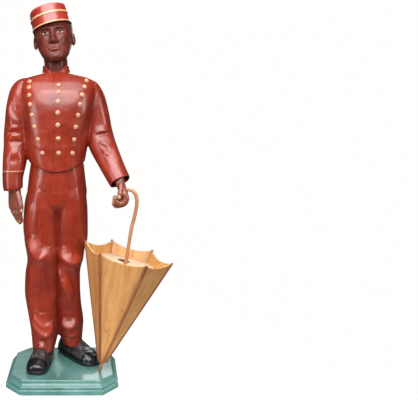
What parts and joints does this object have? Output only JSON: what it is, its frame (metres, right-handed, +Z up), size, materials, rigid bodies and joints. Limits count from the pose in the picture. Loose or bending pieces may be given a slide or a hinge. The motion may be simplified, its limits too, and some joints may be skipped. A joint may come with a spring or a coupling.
{
  "type": "bellboy statue",
  "caption": "Life-size painted wooden figure of a hotel bellboy on a moulded plinth, holding an open wooden umbrella that serves as a stand for walking sticks.",
  "frame": {"origin": "middle of the plinth's underside, on the floor", "axes": "+Z up, the figure faces -Y, +X towards the umbrella in the figure's left hand"},
  "size_m": [0.7345, 0.467, 1.6394],
  "materials": {
    "plinth_paint": "gloss paint on wood",
    "uniform_paint": "gloss paint on carved wood",
    "board_varnish": "satin varnish",
    "rib_varnish": "satin varnish",
    "plate_wood": "plain planed wood",
    "shaft_varnish": "satin varnish"
  },
  "bodies": {
    "root": {"plinth": "plinth_paint", "figure": "uniform_paint", "umbrella_panel_1": "board_varnish", "umbrella_panel_2": "board_varnish", "umbrella_panel_3": "board_varnish", "umbrella_panel_4": "board_varnish", "umbrella_panel_5": "board_varnish", "umbrella_panel_6": "board_varnish", "umbrella_rib_1": "rib_varnish", "umbrella_rib_2": "rib_varnish", "umbrella_rib_3": "rib_varnish", "umbrella_rib_4": "rib_varnish", "umbrella_rib_5": "rib_varnish", "umbrella_rib_6": "rib_varnish", "umbrella_plate": "plate_wood", "umbrella_shaft": "shaft_varnish"}
  },
  "joints": []
}
